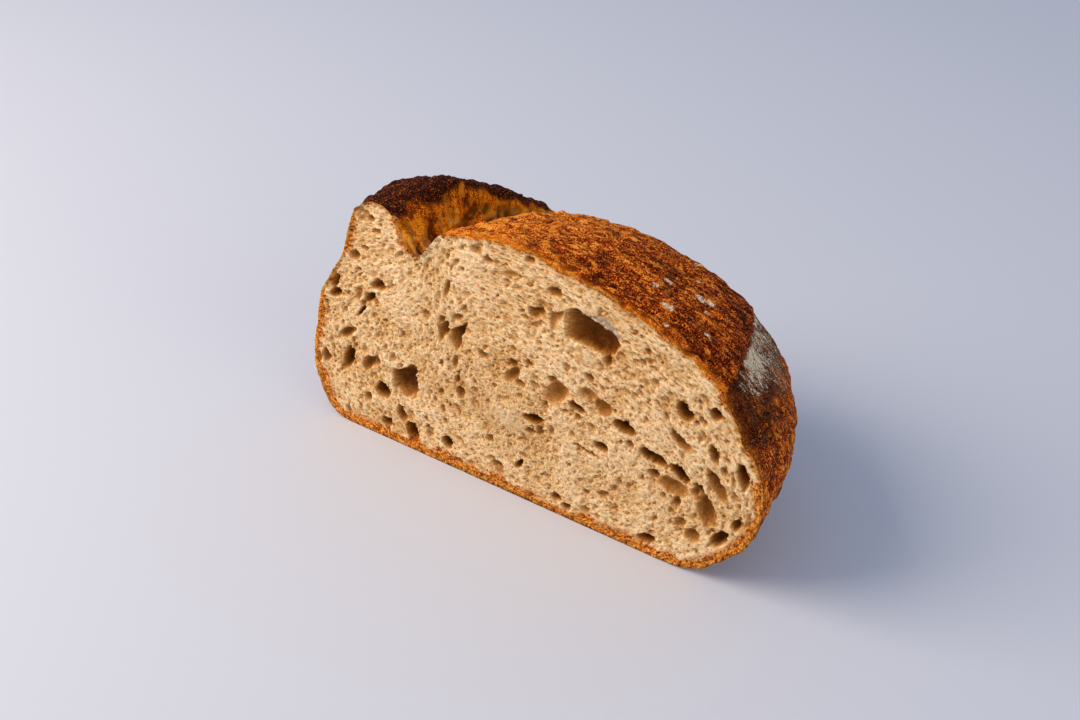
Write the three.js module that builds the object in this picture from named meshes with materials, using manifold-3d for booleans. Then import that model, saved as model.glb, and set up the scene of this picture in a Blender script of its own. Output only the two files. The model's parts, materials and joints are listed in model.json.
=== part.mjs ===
// Half of a round sourdough loaf, standing on its flat base with the cut side forward.
//
// Millimetres, +Z up. The cut is a vertical plane that faces -Y, X runs across it from left to
// right, and the origin is on the base, under the middle of the half loaf.
//
// The loaf is one solid. Its crust is a rounded dome, drawn as one cross section that shrinks
// towards a point at the back. A single score was cut along the loaf before baking, left of the
// middle: the dough to its left lifted into a thin ear, and the dough to its right bloomed up to
// a low step on the right flank. The crumb's gas bubbles are cut open as hollows in the cut side.

import * as THREE from "three";
import { mergeVertices } from "three/addons/utils/BufferGeometryUtils.js";
import Module from "manifold-3d";

// Size of the half loaf
const WIDTH = 230;
const DEPTH = 102;
const CROWN_HEIGHT = 121;
const CROWN_X = -5; // the highest line of the dome, left of the middle
const FOOTPRINT_POWER = 1.92; // 2 is a round footprint, more is squarer
const BACK_POLE_HEIGHT = 56;
const BACK_POLE_X = 20;

// The belly is the widest line of the flanks, and the loaf slumped a little to the left
const BELLY_RIGHT_HEIGHT = 51;
const BELLY_LEFT_HEIGHT = 30;
const UNDERSIDE_DROP = 74; // how far the round form would reach below the belly, before it sat flat
const UNDERSIDE_TUCK = 0.6; // how much of that drop the right flank loses by the back of the loaf
const BASE_EDGE_RADIUS = 9;

// The score, measured in plan from the crown line, and the ear beside it
const SCORE_X = -51;
const SCORE_SLANT = 0.4; // how far it moves to the right for each millimetre back
const SCORE_LENGTH = 112;
const SCORE_DEPTH = 13;
const SCORE_HALF_WIDTH = 8;
const UNDERCUT_BACK = 20; // where the score runs in under the bloomed dough
const UNDERCUT_ASIDE = 3.5;
const UNDERCUT_HEIGHT = 104;
const UNDERCUT_HALF_SIZE = [6, 17, 5.5];
const EAR_RISE = 23.6;
const EAR_OUTER = -36; // the ear's outer lip, from the bottom of the score
const EAR_INNER = -5; // the ear's wall over the score
const EAR_LIP_ROUND = 7;
const EAR_INNER_SHARE = [0.3, 0.62]; // how much of the rise the inner wall has, at the cut and behind
const EAR_TURNS_UP = 26; // how far back the wall has the second share
const RIM_WAVES = [
  [2.2, 9, -0.9], // height, wavelength over a full turn, and phase
  [1.1, 4.1, 0],
];

// The step where the bloomed dough meets the first skin, on the right flank
const STEP_X = 95; // where it meets the cut
const STEP_SLANT = -0.2; // it turns to the left as it runs back, more and more
const STEP_CURVE = -0.0025;
const STEP_DROP = 2.2;
const STEP_WIDTH = 5;

// The right flank turns in towards the base as it runs back
const FLANK_TURN_IN = 14;
const FLANK_TURN_BELOW = 75;

// The crust is uneven: soft swells all over it, and streaks where the dough stretched
const SWELLS = [
  [1.6, 62], // height and wavelength
  [0.7, 23],
];
const STREAK_HEIGHT = 0.45;
const STREAK_SPACING = 13;
const RELIEF_FROM = 4; // the swells start this high over the base
const RELIEF_FULL = 20;
const DOME_FROM = 45; // the score and the step fade in between these heights
const DOME_FULL = 75;

// Gas bubbles that the knife opened. Each is [x, z, length, width, tilt in degrees, depth].
const LARGE_HOLES = [
  [35, 95, 30, 14, -9, 21], // the tunnel under the crown
  [26, 97, 15, 9, -4, 17],
  [10, 95, 10, 6.5, -1, 9],
  [42, 83, 8, 6, -71, 8],
  [-40, 69, 15, 7, 77, 13], // a torn pair left of the middle
  [-30, 72, 17, 8.5, 67, 11],
  [-61, 35, 15, 13.5, 25, 12], // round and smooth
  [-75, 24, 9, 8, 22, 8],
  [-95, 34, 15, 5.5, 64, 6],
  [-83, 36, 11, 5.5, 60, 4.5],
  [-95, 48, 12, 5, 36, 4],
  [-59, 8, 10, 7, -75, 8],
  [-39, 12, 7, 5.5, -79, 8],
  [-65, 16, 10, 6, -84, 4.5],
  [8, 43, 11.5, 5, 12, 7],
  [-3, 61, 13, 6, 48, 3.5],
  [19, 60, 19, 9, 41, 4], // wide and shallow
  [34, 66, 9.5, 7, 16, 2.5],
  [29, 58, 9, 5, -7, 8],
  [41, 63, 9.5, 8, -7, 3],
  [52, 57, 11, 5.5, -8, 7],
  [78, 75, 10, 7, -58, 8],
  [77, 62, 12, 5.5, -25, 4.5],
  [68, 48, 13, 5.5, 2, 12],
  [79, 46, 11, 6, -25, 13],
  [75, 39, 16, 9, 5, 3.5],
  [90, 33, 18, 9.5, -82, 4.5],
  [93, 47, 16, 6, -50, 4],
  [105, 57, 12, 6, -71, 8],
  [105, 71, 10, 4.5, -71, 6],
  [85, 18.5, 7.5, 7, -83, 3],
  [96, 22, 11, 5, 50, 6.5],
  [-74, 79, 9, 6, 13, 6],
  [-99, 70, 9, 4.5, 50, 6],
];
const SMALL_HOLES = 36;
const SMALL_HOLE_LENGTH = [4.2, 8.5];
const SMALL_HOLE_SEED = 20;
const CRUMB_EDGE = 0.88; // small bubbles stay inside this share of the section
const CRUMB_CENTRE_Z = 42;
const HOLE_UNEVENNESS = 0.16;

// The grid that the crust is drawn on
const STATIONS = 28; // from the cut to the back
const AROUND = 72; // round one section
const SCORE_CROWDING = 0.55; // how much the grid gathers at the score

const CUT_Y = -DEPTH / 2;
const PAST_THE_CUT = 12; // the crust is drawn this far past the cut, which then slices it clean
const KNIFE_THICKNESS = 60;
const TAU = 2 * Math.PI;

const wasm = await Module();
wasm.setup();

const clamp01 = (t) => Math.min(1, Math.max(0, t));
const smooth = (t) => clamp01(t) ** 2 * (3 - 2 * clamp01(t));
const mix = (a, b, t) => a + (b - a) * t;

// A repeatable random number from 0 to 1.
function seededRandom(seed) {
  let state = seed;
  return () => {
    state = (state * 1664525 + 1013904223) % 4294967296;
    return state / 4294967296;
  };
}

// Soft lumps between -1 and 1, from a few crossed waves that never line up.
function lumps(x, y, z, wavelength) {
  const k = TAU / wavelength;
  const a = Math.sin(k * (x + 0.6 * z) + 1.3 * Math.sin(k * 0.7 * y + 2.0));
  const b = Math.sin(k * (0.8 * y - 0.5 * x) + 1.7 * Math.sin(k * 0.6 * z + 0.5));
  const c = Math.sin(k * (0.9 * z + 0.4 * y) + 1.1 * Math.sin(k * 0.8 * x + 4.0));
  return (a + b + c) / 3;
}

// The lower limit that turns a round underside into a flat base with a rounded edge.
function seatOnBase(z) {
  const r = BASE_EDGE_RADIUS;
  if (z >= r) return z;
  if (z <= -r) return 0;
  return ((z + r) * (z + r)) / (4 * r);
}

// The section at the cut, before the score: angle 0 is the right flank and a quarter turn the crown.
function sectionPoint(angle, share) {
  const side = Math.cos(angle);
  const rise = Math.sin(angle);
  const belly = mix(BELLY_LEFT_HEIGHT, BELLY_RIGHT_HEIGHT, (1 + side) / 2);
  const reach = side > 0 ? WIDTH / 2 - CROWN_X : WIDTH / 2 + CROWN_X;
  const x = CROWN_X + reach * side;
  const drop = UNDERSIDE_DROP * (1 - UNDERSIDE_TUCK * share * smooth(0.2 + side));
  const z = belly + (rise > 0 ? CROWN_HEIGHT - belly : drop) * rise;
  return new THREE.Vector2(x, z);
}

// How much of the score is left at a distance back from the cut.
function scoreFade(back) {
  return 1 - smooth((back - 0.1 * SCORE_LENGTH) / (0.9 * SCORE_LENGTH));
}

// The height that the ear and the score add to the dome, at a distance across from the score.
function scoreRelief(across, back) {
  const fade = scoreFade(back);
  const rim = RIM_WAVES.reduce((sum, [high, long, phase]) => sum + high * Math.sin(back / long + phase), 0);
  const outside = smooth((across - EAR_OUTER - rim * 0.4 + EAR_LIP_ROUND) / (1.6 * EAR_LIP_ROUND));
  const inside = 1 - smooth((across - EAR_INNER + 10) / 12);
  const innerShare = mix(...EAR_INNER_SHARE, smooth(back / EAR_TURNS_UP));
  const slope = mix(1, innerShare, clamp01((across - EAR_OUTER) / (EAR_INNER - EAR_OUTER)));
  const ear = (EAR_RISE + 0.5 * rim) * outside * inside * slope;
  const valley = Math.exp(-((across / SCORE_HALF_WIDTH) ** 2));
  return fade * (ear - SCORE_DEPTH * valley);
}

// The low step between the bloomed dough and the first skin.
function stepRelief(x, back) {
  const across = x - STEP_X - (STEP_SLANT + STEP_CURVE * back) * back;
  return -STEP_DROP * smooth(across / STEP_WIDTH) * (1 - smooth((across - 10) / 40));
}

// A point of the crust: the section shrinks towards the back pole, sits on the base, and is
// then raised by the score, the step and the lumps of the crust.
function crustPoint(angle, back) {
  const share = Math.min(1, Math.max(0, back) / DEPTH);
  const shrink = (1 - share ** FOOTPRINT_POWER) ** (1 / FOOTPRINT_POWER);
  const full = sectionPoint(angle, share);
  const round = mix(BACK_POLE_HEIGHT, full.y, shrink);
  const lowness = smooth((FLANK_TURN_BELOW - round) / FLANK_TURN_BELOW);
  const turnIn = FLANK_TURN_IN * share * lowness * clamp01((4 * full.x) / WIDTH);
  const x = mix(BACK_POLE_X, full.x, shrink) - turnIn;
  const onDome = smooth((round - DOME_FROM) / (DOME_FULL - DOME_FROM));
  const across = x - SCORE_X - SCORE_SLANT * back;
  const raised = onDome * (scoreRelief(across, back) + stepRelief(x, back));
  const swell = SWELLS.reduce((sum, [high, long]) => sum + high * lumps(x, back, round, long), 0);
  const outward = new THREE.Vector3(x - CROWN_X, back, round - BACK_POLE_HEIGHT).normalize();
  const streaks = STREAK_HEIGHT * Math.sin((TAU * back) / STREAK_SPACING + 2 * lumps(x, back, round, 90));
  const offBase = smooth((round - RELIEF_FROM) / (RELIEF_FULL - RELIEF_FROM));
  const lift = (swell + streaks) * offBase;
  const z = seatOnBase(round) + raised + lift * outward.z;
  return new THREE.Vector3(x + lift * outward.x, back + lift * outward.y, Math.max(0, z));
}

// Angles round the section, gathered where the score crosses the dome.
function sectionAngles() {
  const scoreAngle = Math.acos((SCORE_X - 10 - CROWN_X) / (WIDTH / 2 + CROWN_X));
  return Array.from({ length: AROUND }, (_, i) => {
    const even = (TAU * i) / AROUND;
    return even + SCORE_CROWDING * Math.sin(scoreAngle - even);
  });
}

// The geometry with nothing but its positions, so that shared vertices can be merged.
function bareCopy(geometry) {
  const bare = geometry.clone();
  bare.deleteAttribute("normal");
  bare.deleteAttribute("uv");
  return bare;
}

// A closed grid becomes a solid once its shared vertices are merged.
function solidFrom(geometry) {
  const merged = mergeVertices(bareCopy(geometry), 1e-4);
  return new wasm.Manifold(
    new wasm.Mesh({
      numProp: 3,
      vertProperties: new Float32Array(merged.attributes.position.array),
      triVerts: new Uint32Array(merged.index.array),
    }),
  );
}

// The uncut crust, which runs on forward past the cut so that the cut can slice it clean.
function crustSolid() {
  const angles = sectionAngles();
  const positions = [];
  const faces = [];
  for (let i = -1; i < STATIONS; i++) {
    const turn = (Math.PI / 2) * (Math.max(0, i) / STATIONS);
    const back = DEPTH * Math.sin(turn) ** (2 / FOOTPRINT_POWER);
    for (const angle of angles) {
      const p = crustPoint(angle, back);
      positions.push(p.x, p.y + CUT_Y - (i < 0 ? PAST_THE_CUT : 0), p.z);
    }
  }
  const rows = STATIONS + 1;
  for (let i = 0; i + 1 < rows; i++) {
    for (let j = 0; j < AROUND; j++) {
      const a = i * AROUND + j;
      const b = i * AROUND + ((j + 1) % AROUND);
      faces.push(a, a + AROUND, b, b, a + AROUND, b + AROUND);
    }
  }
  const front = positions.length / 3;
  positions.push(0, CUT_Y - PAST_THE_CUT, 50);
  const pole = crustPoint(0, DEPTH);
  positions.push(pole.x, pole.y + CUT_Y, pole.z);
  const lastRow = (rows - 1) * AROUND;
  for (let j = 0; j < AROUND; j++) {
    const next = (j + 1) % AROUND;
    faces.push(front, j, next);
    faces.push(front + 1, lastRow + next, lastRow + j);
  }
  const geometry = new THREE.BufferGeometry();
  geometry.setAttribute("position", new THREE.Float32BufferAttribute(positions, 3));
  geometry.setIndex(faces);
  return solidFrom(geometry);
}

// Away from the crust the bubbles lie along arcs that follow the dome, and flat near the base.
function flowTilt(x, z) {
  const rise = ((x - CROWN_X) / (WIDTH / 2)) * (CROWN_HEIGHT - CRUMB_CENTRE_Z);
  const run = -((z - CRUMB_CENTRE_Z) / (CROWN_HEIGHT - CRUMB_CENTRE_Z)) * (WIDTH / 2);
  return THREE.MathUtils.radToDeg(Math.atan(rise / run));
}

// One bubble: a ball with uneven walls, stretched, tilted and set half behind the cut.
function bubbleSolid([x, z, length, width, tilt, depth], detail) {
  const ball = mergeVertices(bareCopy(new THREE.IcosahedronGeometry(1, detail)), 1e-4);
  const at = ball.attributes.position;
  for (let i = 0; i < at.count; i++) {
    const p = new THREE.Vector3().fromBufferAttribute(at, i);
    p.multiplyScalar(1 + HOLE_UNEVENNESS * lumps(p.x + x, p.y + z, p.z - x, 1.9));
    at.setXYZ(i, p.x, p.y, p.z);
  }
  ball.scale(length / 2, depth, width / 2);
  ball.rotateY(-THREE.MathUtils.degToRad(tilt));
  ball.translate(x, CUT_Y + 0.02 * depth, z);
  return solidFrom(ball);
}

// Smaller bubbles, strewn over the cut wherever they clear the crust and each other.
function smallHoles() {
  const random = seededRandom(SMALL_HOLE_SEED);
  const placed = LARGE_HOLES.map((hole) => [hole[0], hole[1], hole[2] / 2]);
  const holes = [];
  for (let tries = 0; holes.length < SMALL_HOLES && tries < 4000; tries++) {
    const x = mix(-WIDTH / 2, WIDTH / 2, random());
    const z = mix(6, CROWN_HEIGHT - 6, random());
    const [shortest, longest] = SMALL_HOLE_LENGTH;
    const length = mix(shortest, longest, random() ** 2.2);
    const reachUp = z > CRUMB_CENTRE_Z ? CROWN_HEIGHT - CRUMB_CENTRE_Z : CROWN_HEIGHT;
    const edge = Math.hypot((x - CROWN_X) / (WIDTH / 2), (z - CRUMB_CENTRE_Z) / reachUp);
    const inScore = Math.abs(x - SCORE_X) < 12 && z > 84;
    const inEar = x < -60 && z > 75 + (x + 115) * 0.9;
    const crowded = placed.some(([px, pz, reach]) => Math.hypot(x - px, z - pz) < reach + length / 2 + 1);
    const aspect = mix(0.5, 0.9, random());
    const depth = length * mix(0.35, 0.8, random());
    const tilt = flowTilt(x, z) + mix(-25, 25, random());
    if (edge > CRUMB_EDGE || inScore || inEar || crowded) continue;
    placed.push([x, z, length / 2]);
    holes.push([x, z, length, length * aspect, tilt, depth]);
  }
  return holes;
}

// The score runs in under the bloomed dough, a little way back from the cut.
function scoreUndercut() {
  const ball = bareCopy(new THREE.SphereGeometry(1, 14, 9));
  ball.scale(...UNDERCUT_HALF_SIZE);
  ball.rotateZ(-Math.atan(SCORE_SLANT));
  const x = SCORE_X + UNDERCUT_ASIDE + SCORE_SLANT * UNDERCUT_BACK;
  ball.translate(x, CUT_Y + UNDERCUT_BACK, UNDERCUT_HEIGHT);
  return solidFrom(ball);
}

function cutHalf() {
  const knife = new THREE.BoxGeometry(2 * WIDTH, KNIFE_THICKNESS, 3 * CROWN_HEIGHT);
  knife.translate(0, CUT_Y - KNIFE_THICKNESS / 2, CROWN_HEIGHT);
  const whole = crustSolid().subtract(scoreUndercut()).subtract(solidFrom(knife));
  const large = LARGE_HOLES.map((hole) => bubbleSolid(hole, hole[2] > 12 ? 2 : 1));
  const small = smallHoles().map((hole) => bubbleSolid(hole, 1));
  return [...large, ...small].reduce((solid, bubble) => solid.subtract(bubble), whole);
}

// Moves the solid so that the origin is on the base, under the middle of its box.
function overTheOrigin(solid) {
  const { min, max } = solid.boundingBox();
  return solid.translate([-(min[0] + max[0]) / 2, -(min[1] + max[1]) / 2, -min[2]]);
}

function geometryFrom(solid) {
  const mesh = solid.getMesh();
  const geometry = new THREE.BufferGeometry();
  geometry.setAttribute("position", new THREE.BufferAttribute(mesh.vertProperties, 3));
  geometry.setIndex(new THREE.BufferAttribute(mesh.triVerts, 1));
  geometry.computeVertexNormals();
  return geometry;
}

const bakedDough = new THREE.MeshStandardMaterial({ color: "#a8602c", roughness: 0.85, metalness: 0 });
const loaf = new THREE.Mesh(geometryFrom(overTheOrigin(cutHalf())), bakedDough);
loaf.name = "loaf";

const halfLoaf = new THREE.Group();
halfLoaf.add(loaf);
export default halfLoaf;
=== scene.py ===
# %% [markdown]
# # Half a sourdough loaf
#
# This lesson dresses half of a round loaf, cut side forward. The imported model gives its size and
# form as one solid. Two new pieces stand for it: the baked crust, which is a skin of wrinkles,
# blisters and char, and the crumb, which is a foam of torn gas bubbles. All sizes below are in
# millimetres, on arrays of points, and turned to metres where they go to Blender.

import contextlib
import itertools
import json
import math

import bpy
import numpy as np
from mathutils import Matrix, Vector

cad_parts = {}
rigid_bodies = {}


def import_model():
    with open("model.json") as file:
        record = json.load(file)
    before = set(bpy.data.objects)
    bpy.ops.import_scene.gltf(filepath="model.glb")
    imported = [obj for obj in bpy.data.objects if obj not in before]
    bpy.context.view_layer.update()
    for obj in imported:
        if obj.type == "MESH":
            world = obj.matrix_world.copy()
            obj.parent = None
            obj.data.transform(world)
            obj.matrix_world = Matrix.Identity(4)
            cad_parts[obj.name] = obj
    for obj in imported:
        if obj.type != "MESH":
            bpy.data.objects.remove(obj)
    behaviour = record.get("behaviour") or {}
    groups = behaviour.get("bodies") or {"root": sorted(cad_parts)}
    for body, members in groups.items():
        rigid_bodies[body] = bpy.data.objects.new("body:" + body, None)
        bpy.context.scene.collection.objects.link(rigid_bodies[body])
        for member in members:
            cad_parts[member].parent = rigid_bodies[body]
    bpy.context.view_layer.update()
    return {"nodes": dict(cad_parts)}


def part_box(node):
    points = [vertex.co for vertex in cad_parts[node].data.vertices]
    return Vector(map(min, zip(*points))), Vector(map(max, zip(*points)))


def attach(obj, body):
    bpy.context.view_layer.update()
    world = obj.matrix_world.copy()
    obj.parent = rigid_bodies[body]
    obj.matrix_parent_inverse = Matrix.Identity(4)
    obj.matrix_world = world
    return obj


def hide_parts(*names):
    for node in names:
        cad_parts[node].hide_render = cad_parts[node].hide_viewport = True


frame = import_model()
MM = 0.001
LOW, HIGH = (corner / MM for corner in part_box("loaf"))
CUT_Y = LOW.y
CROWN_X = -5.0
print("the solid spans, in mm:", [round(side, 1) for side in HIGH - LOW])

# %% [markdown]
# ## Small helpers
#
# An operator acts on all that is selected, so each step opens edit mode with just the parts that
# it is meant for.

# %% Objects and edit mode
PARTS = {"VERT": "vertices", "EDGE": "edges", "FACE": "polygons"}


def add_object(name, data):
    piece = bpy.data.objects.new(name, data)
    bpy.context.collection.objects.link(piece)
    return piece


def select_only(piece):
    """Leaves one object selected and active, in object mode."""
    bpy.ops.object.select_all(action="DESELECT")
    piece.select_set(True)
    bpy.context.view_layer.objects.active = piece


@contextlib.contextmanager
def editing(piece, kind="VERT", chosen=None):
    """Opens edit mode with the chosen parts selected, or all of them, and leaves it at the end."""
    select_only(piece)
    bpy.ops.object.mode_set(mode="EDIT")
    bpy.ops.mesh.select_mode(type=kind)
    bpy.ops.mesh.select_all(action="SELECT" if chosen is None else "DESELECT")
    if chosen is not None:
        bpy.ops.object.mode_set(mode="OBJECT")
        getattr(piece.data, PARTS[kind]).foreach_set("select", chosen)
        bpy.ops.object.mode_set(mode="EDIT")
    yield
    bpy.ops.object.mode_set(mode="OBJECT")


def select_open_edge():
    """In edit mode, selects the edges that have a face on one side only."""
    bpy.ops.mesh.select_mode(type="EDGE")
    bpy.ops.mesh.select_all(action="DESELECT")
    bpy.ops.mesh.select_non_manifold()


# %% Points in and out


def read(parts, field, kind=np.float32, width=1):
    """One field of all the parts as an array, with a row for each part where it is a vector."""
    flat = np.empty(len(parts) * width, kind)
    parts.foreach_get(field, flat)
    return flat.reshape(-1, width) if width > 1 else flat


def points_of(piece):
    """The piece's points in millimetres, one row each."""
    return read(piece.data.vertices, "co", width=3).astype(float) / MM


def normals_of(piece):
    return read(piece.data.vertex_normals, "vector", width=3).astype(float)


def move_points(piece, points):
    piece.data.vertices.foreach_set("co", (points * MM).astype(np.float32).ravel())
    piece.data.update()


def paint(piece, **paints):
    """Stores a number or a place per point under each name, for the materials to read."""
    for name, values in paints.items():
        values = np.asarray(values, np.float32)
        kind, field = ("FLOAT", "value") if values.ndim == 1 else ("FLOAT_VECTOR", "vector")
        layer = piece.data.attributes.new(name, kind, "POINT")
        layer.data.foreach_set(field, values.ravel())


def painted_on(piece, name):
    return read(piece.data.attributes[name].data, "value")


# %% Smoothing and modifiers


def smooth_points(piece, chosen, times):
    """Smooths only the chosen points, so many times over."""
    with editing(piece, "VERT", chosen):
        bpy.ops.mesh.vertices_smooth(factor=0.5, repeat=times)


def apply_modifier(piece, kind, **settings):
    """Adds a modifier, sets it up and applies it."""
    select_only(piece)
    modifier = piece.modifiers.new(kind, kind)
    for key, value in settings.items():
        setattr(modifier, key, value)
    bpy.ops.object.modifier_apply(modifier=modifier.name)


# %% [markdown]
# ## Noise, ramps and bumps
#
# Nothing on bread is even. Its relief comes from soft noise: random numbers on a lattice, blended
# between its corners. A lattice stretched one way gives the streaks that stretched dough has. A
# smooth step from 0 to 1 fades one region into the next.

# %% Noise and smooth steps
HASH_PRIMES = np.array([73856093, 19349663, 83492791])
NOISE_TABLE_SIZE = 4096


def smooth(value, start, end):
    """Goes from 0 at start to 1 at end, with soft corners."""
    t = np.clip((value - start) / (end - start), 0, 1)
    return t * t * (3 - 2 * t)


def noise(points, size, seed):
    """Soft noise from -1 to 1. size is a lump's width, one number or one for each axis."""
    table = np.random.default_rng(seed).uniform(-1, 1, NOISE_TABLE_SIZE)
    cell = points / np.asarray(size, float) + 0.37 * seed
    corner = np.floor(cell).astype(np.int64)
    share = cell - corner
    share = share * share * (3 - 2 * share)
    total = np.zeros(len(points))
    for step in itertools.product((0, 1), repeat=3):
        key = np.bitwise_xor.reduce((corner + step) * HASH_PRIMES, axis=1) % NOISE_TABLE_SIZE
        weight = np.prod(np.where(step, share, 1 - share), axis=1)
        total += weight * table[key]
    return 1.5 * total


def mix_number(a, b, share):
    return a + (b - a) * share


# %% [markdown]
# ## The camera
#
# The camera stands where the photograph was taken from: to the right of the cut, looking down at
# 33 degrees, with a plain 50 mm lens.

# %% Camera
CAMERA_AZIMUTH = math.radians(35.71)
CAMERA_ELEVATION = math.radians(33.0)
CAMERA_PLACE = Vector((303.65, -457.57, 399.1)) * MM


def aim(thing, towards):
    """Turns a camera or a lamp so that it looks along a direction."""
    thing.rotation_mode = "QUATERNION"
    thing.rotation_quaternion = towards.to_track_quat("-Z", "Y")


camera = add_object("camera", bpy.data.cameras.new("camera"))
bpy.context.scene.camera = camera
camera.data.lens = 50
camera.data.sensor_width = 36
camera.location = CAMERA_PLACE
level = math.cos(CAMERA_ELEVATION)
across, away = -math.sin(CAMERA_AZIMUTH) * level, math.cos(CAMERA_AZIMUTH) * level
aim(camera, Vector((across, away, -math.sin(CAMERA_ELEVATION))))
print("camera distance to the loaf, in mm:", round(CAMERA_PLACE.length / MM))

# %% [markdown]
# ## The crust, step 1: a smooth skin
#
# The crust could be modelled from a sphere, but the solid already has the true form, so a copy of
# it is the start. A bisect takes off its cut face and its hollows, the open edge is drawn forward
# and filled, and a voxel remesh turns the large facets into an even net of small squares, which
# Smooth then relaxes. The skin is cut again at the end, so that its edge is crisp.

# %% Copy the solid's outside
VOXEL = 1.5
SPARE_FRONT = 7.0


def largest_shell(piece):
    """Keeps the connected part that holds the crown, and deletes the rest."""
    heights = points_of(piece)[:, 2]
    with editing(piece, "VERT", np.arange(len(heights)) == heights.argmax()):
        bpy.ops.mesh.select_linked()
        bpy.ops.mesh.select_all(action="INVERT")
        bpy.ops.mesh.delete(type="VERT")


def cut_front_off(piece, y):
    """Slices the piece with an upright plane and drops what is in front of it."""
    plane = {"plane_co": (0, y * MM, 0), "plane_no": (0, 1, 0)}
    with editing(piece):
        bpy.ops.mesh.bisect(**plane, clear_inner=True, threshold=0.001 * MM)


crust = add_object("crust", frame["nodes"]["loaf"].data.copy())
crust.data.materials.clear()
with editing(crust):
    bpy.ops.mesh.remove_doubles(threshold=0.01 * MM)
cut_front_off(crust, CUT_Y + 0.1)
largest_shell(crust)
with editing(crust):
    select_open_edge()
    bpy.ops.mesh.extrude_edges_move(TRANSFORM_OT_translate={"value": (0, -SPARE_FRONT * MM, 0)})
    bpy.ops.mesh.edge_face_add()
apply_modifier(crust, "REMESH", mode="VOXEL", voxel_size=VOXEL * MM)
apply_modifier(crust, "SMOOTH", factor=0.5, iterations=6)
places = points_of(crust)
# A large hole of the solid bites into its edge here, and the skin has to run on past it.
at_bite = (places[:, 0] > 92) & (np.abs(places[:, 2] - 70) < 14) & (places[:, 1] < CUT_Y + 8)
smooth_points(crust, at_bite, 60)
cut_front_off(crust, CUT_Y)
print("the skin has", len(crust.data.polygons), "squares")

# %% [markdown]
# ## The crust, step 2: more points where the eye goes
#
# Wrinkles are about a millimetre wide, so the net has to be finer than that. A finer voxel all over
# would make the mesh too heavy, so only the near dome, the ear and the right flank are subdivided.

# %% Subdivide the dome and the right flank


def faces_the_eye(face):
    """True on the dome, the ear and the right flank, which show most."""
    centre, normal = face.center / MM, face.normal
    on_top = centre.z > 58 and normal.z > 0.0 and centre.y < 20
    on_right = centre.x > 40 and centre.y < 22 and centre.z > 8
    on_ear = centre.x < -15 and centre.z > 80 and centre.y < 36
    return on_top or on_right or on_ear


with editing(crust, "FACE", [faces_the_eye(face) for face in crust.data.polygons]):
    bpy.ops.mesh.subdivide(number_cuts=1)
apply_modifier(crust, "SMOOTH", factor=0.4, iterations=2)
print("the skin now has", len(crust.data.polygons), "faces")

# %% [markdown]
# ## The crust, step 3: regions
#
# Left of the score, the dough lifted into a thin ear whose crest burnt. The wall below it is the
# torn inside of the loaf, baked golden. Right of the score, the dough bloomed: it stretched while
# it baked, so it is streaked. Beyond a low step is the first skin, with flour on it. Each region
# is a number from 0 to 1 at every point, made from its place beside the score, the cut and the
# step.

# %% Find the regions
SCORE_X = -51.0
SCORE_SLANT = 0.4
STEP_X = 95.0
STEP_SLANT = -0.2
STEP_CURVE = -0.0025
SECTION_CENTRE_Z = 45.0
ARC_RADIUS = 90.0


def profile_along(back, height, chosen, pick, spacing=5.0):
    """Follows the highest or lowest of the chosen points from the cut to the back."""
    stations = np.arange(0, 100, spacing)
    found = []
    for station in stations:
        near = chosen & (np.abs(back - station) < 0.7 * spacing)
        found.append(pick(height[near]) if near.any() else np.nan)
    found = np.array(found)
    known = np.isfinite(found)
    return np.interp(back, stations[known], found[known])


def crust_regions(points, normals):
    """The regions of the crust as numbers from 0 to 1, and each point's place on the skin."""
    x, y, z = points.T
    back = y - CUT_Y
    across = x - SCORE_X - SCORE_SLANT * back
    past_step = x - STEP_X - (STEP_SLANT + STEP_CURVE * back) * back
    scored = 1 - smooth(back, 60, 98)
    crest = profile_along(back, z, (across < -8) & (across > -42), np.max)
    valley = profile_along(back, z, (np.abs(across) < 5) & (z > 60), np.min)
    up_wall = np.clip((z - valley) / np.maximum(crest - valley, 4), 0, 1.2)
    wall = smooth(across, -31, -24) * (1 - smooth(across, -1, 4)) * smooth(normals[:, 0], 0.0, 0.35)
    wall = wall * smooth(z, 60, 80) * scored
    ear_top = (1 - smooth(across, -8, -2)) * smooth(z - crest, -17, -5) * (1 - smooth(back, 80, 104))
    bloom = smooth(across, -2, 8) * (1 - smooth(past_step, -0.6, 0.6)) * smooth(z, 40, 62)
    turn = (np.arctan2(z - SECTION_CENTRE_Z, x - CROWN_X) + math.pi / 2) % (2 * math.pi)
    round_back = np.arctan2(back, np.hypot(x - CROWN_X, z - SECTION_CENTRE_Z))
    skin = np.column_stack([ARC_RADIUS * turn, ARC_RADIUS * round_back, np.zeros(len(x))])
    return {
        "back": back, "across": across, "past_step": past_step, "up_wall": up_wall,
        "wall": wall, "ear_top": ear_top, "bloom": bloom, "base": 1 - smooth(z, 0.3, 3.5),
        "pole": smooth(round_back, 0.8, 1.15), "skin": skin,
    }


region = crust_regions(points_of(crust), normals_of(crust))
print("share of the skin that bloomed:", round(float(region["bloom"].mean()), 2))

# %% [markdown]
# ## The crust, step 4: wrinkles, tears and blisters
#
# The relief is added along each point's normal. Bloomed dough has fine ropes that run with the
# stretch, the wall of the ear has tears, the first skin is sandy with small blisters, and the
# charred crest is the roughest. A texture in a Displace modifier could do one of these, but here
# each has its own direction and place, so numbers are summed instead.

# %% Raise the relief


def streaks(skin, along, wide, seed):
    """Noise drawn out along the section, as stretched dough is."""
    return noise(skin, (along, wide, 1), seed)


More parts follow.
